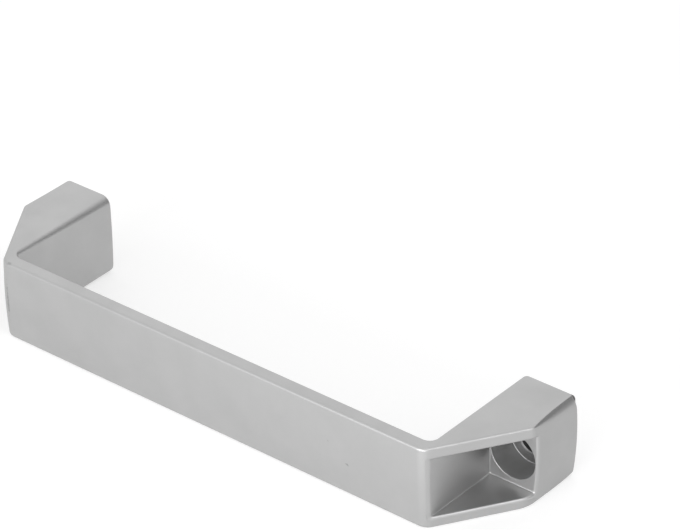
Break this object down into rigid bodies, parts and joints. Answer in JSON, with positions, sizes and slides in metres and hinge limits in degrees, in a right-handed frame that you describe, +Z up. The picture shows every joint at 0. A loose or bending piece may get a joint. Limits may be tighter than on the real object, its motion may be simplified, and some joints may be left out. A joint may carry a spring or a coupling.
{
  "type": "cabinet handle",
  "caption": "Cast U-shaped cabinet handle with a flat grip bar and hollow slanted corner blocks, fixed from the front by recessed screws.",
  "frame": {"origin": "midway between the axes of the fixing holes, on the mounting face", "axes": "+X along the grip bar, +Y into the panel the handle is fixed to, +Z up, across the handle's width"},
  "size_m": [0.1988, 0.0478, 0.027],
  "materials": {
    "cast_metal": "satin cast stainless steel"
  },
  "bodies": {
    "root": {"handle": "cast_metal"}
  },
  "joints": []
}
